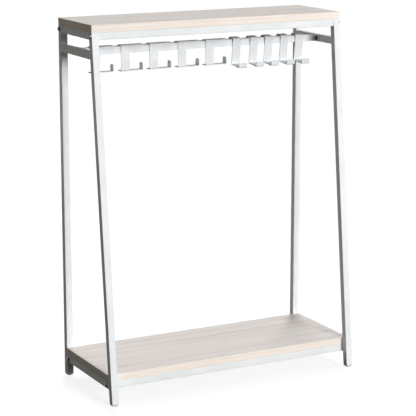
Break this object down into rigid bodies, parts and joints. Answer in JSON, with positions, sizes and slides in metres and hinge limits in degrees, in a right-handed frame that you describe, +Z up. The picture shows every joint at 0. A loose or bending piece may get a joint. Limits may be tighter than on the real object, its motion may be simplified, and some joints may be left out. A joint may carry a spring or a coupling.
{
  "type": "hook rack",
  "caption": "Free-standing white steel hook rack: leaning side frames, two wood-laminate shelves and a hanger bar with sliding bag and coat hooks.",
  "frame": {"origin": "on the floor, under the middle of the rack's overall box", "axes": "+X right seen from the front, along the hanger bar; +Y to the back; +Z up"},
  "size_m": [0.76, 0.32, 1],
  "materials": {
    "white_powder_coat": "satin white powder coat",
    "hook_coating": "satin white coating on bent flat steel",
    "wood_laminate": "matt whitewashed wood-grain laminate",
    "zinc_hardware": "zinc plated",
    "dark_screw": "dark plated",
    "foot_nylon": "moulded white nylon"
  },
  "bodies": {
    "rack_frame": {"bar_left_front_screw": "dark_screw", "bar_left_rear_screw": "dark_screw", "bar_right_front_screw": "dark_screw", "bar_right_rear_screw": "dark_screw", "bottom_board": "wood_laminate", "bottom_board_left_front_screw": "zinc_hardware", "bottom_board_left_rear_screw": "zinc_hardware", "bottom_board_right_front_screw": "zinc_hardware", "bottom_board_right_rear_screw": "zinc_hardware", "bottom_front_left_bolt": "zinc_hardware", "bottom_front_left_insert": "zinc_hardware", "bottom_front_rail": "white_powder_coat", "bottom_front_right_bolt": "zinc_hardware", "bottom_front_right_insert": "zinc_hardware", "bottom_rear_left_bolt": "zinc_hardware", "bottom_rear_left_insert": "zinc_hardware", "bottom_rear_rail": "white_powder_coat", "bottom_rear_right_bolt": "zinc_hardware", "bottom_rear_right_insert": "zinc_hardware", "hanger_bar": "white_powder_coat", "left_bar_rail": "white_powder_coat", "left_bottom_rail": "white_powder_coat", "left_front_foot": "foot_nylon", "left_front_leg": "white_powder_coat", "left_rear_foot": "foot_nylon", "left_rear_leg": "white_powder_coat", "left_top_rail": "white_powder_coat", "right_bar_rail": "white_powder_coat", "right_bottom_rail": "white_powder_coat", "right_front_foot": "foot_nylon", "right_front_leg": "white_powder_coat", "right_rear_foot": "foot_nylon", "right_rear_leg": "white_powder_coat", "right_top_rail": "white_powder_coat", "top_board": "wood_laminate", "top_board_left_front_screw": "zinc_hardware", "top_board_left_rear_screw": "zinc_hardware", "top_board_right_front_screw": "zinc_hardware", "top_board_right_rear_screw": "zinc_hardware", "top_front_left_bolt": "zinc_hardware", "top_front_left_insert": "zinc_hardware", "top_front_rail": "white_powder_coat", "top_front_right_bolt": "zinc_hardware", "top_front_right_insert": "zinc_hardware", "top_rear_left_bolt": "zinc_hardware", "top_rear_left_insert": "zinc_hardware", "top_rear_rail": "white_powder_coat", "top_rear_right_bolt": "zinc_hardware", "top_rear_right_insert": "zinc_hardware"},
    "bag_hook_1": {"bag_hook_1": "hook_coating"},
    "bag_hook_2": {"bag_hook_2": "hook_coating"},
    "bag_hook_3": {"bag_hook_3": "hook_coating"},
    "bag_hook_4": {"bag_hook_4": "hook_coating"},
    "bag_hook_5": {"bag_hook_5": "hook_coating"},
    "coat_hook_1": {"coat_hook_1": "hook_coating"},
    "coat_hook_2": {"coat_hook_2": "hook_coating"},
    "coat_hook_3": {"coat_hook_3": "hook_coating"},
    "coat_hook_4": {"coat_hook_4": "hook_coating"},
    "coat_hook_5": {"coat_hook_5": "hook_coating"}
  },
  "joints": [
    {"name": "bag_hook_1_slide", "type": "slide", "parent": "rack_frame", "child": "bag_hook_1", "axis": [1, 0, 0], "range_m": [-0.0179, 0.0189]},
    {"name": "bag_hook_2_slide", "type": "slide", "parent": "rack_frame", "child": "bag_hook_2", "axis": [1, 0, 0], "range_m": [-0.0189, 0.0169]},
    {"name": "bag_hook_3_slide", "type": "slide", "parent": "rack_frame", "child": "bag_hook_3", "axis": [1, 0, 0], "range_m": [-0.0169, 0.0179]},
    {"name": "bag_hook_4_slide", "type": "slide", "parent": "rack_frame", "child": "bag_hook_4", "axis": [1, 0, 0], "range_m": [-0.0179, 0.0169]},
    {"name": "bag_hook_5_slide", "type": "slide", "parent": "rack_frame", "child": "bag_hook_5", "axis": [1, 0, 0], "range_m": [-0.0169, 0.0159]},
    {"name": "coat_hook_1_slide", "type": "slide", "parent": "rack_frame", "child": "coat_hook_1", "axis": [1, 0, 0], "range_m": [-0.0159, 0.0289]},
    {"name": "coat_hook_2_slide", "type": "slide", "parent": "rack_frame", "child": "coat_hook_2", "axis": [1, 0, 0], "range_m": [-0.0289, 0.0209]},
    {"name": "coat_hook_3_slide", "type": "slide", "parent": "rack_frame", "child": "coat_hook_3", "axis": [1, 0, 0], "range_m": [-0.0209, 0.0239]},
    {"name": "coat_hook_4_slide", "type": "slide", "parent": "rack_frame", "child": "coat_hook_4", "axis": [1, 0, 0], "range_m": [-0.0239, 0.0219]},
    {"name": "coat_hook_5_slide", "type": "slide", "parent": "rack_frame", "child": "coat_hook_5", "axis": [1, 0, 0], "range_m": [-0.0219, 0.0379]}
  ]
}
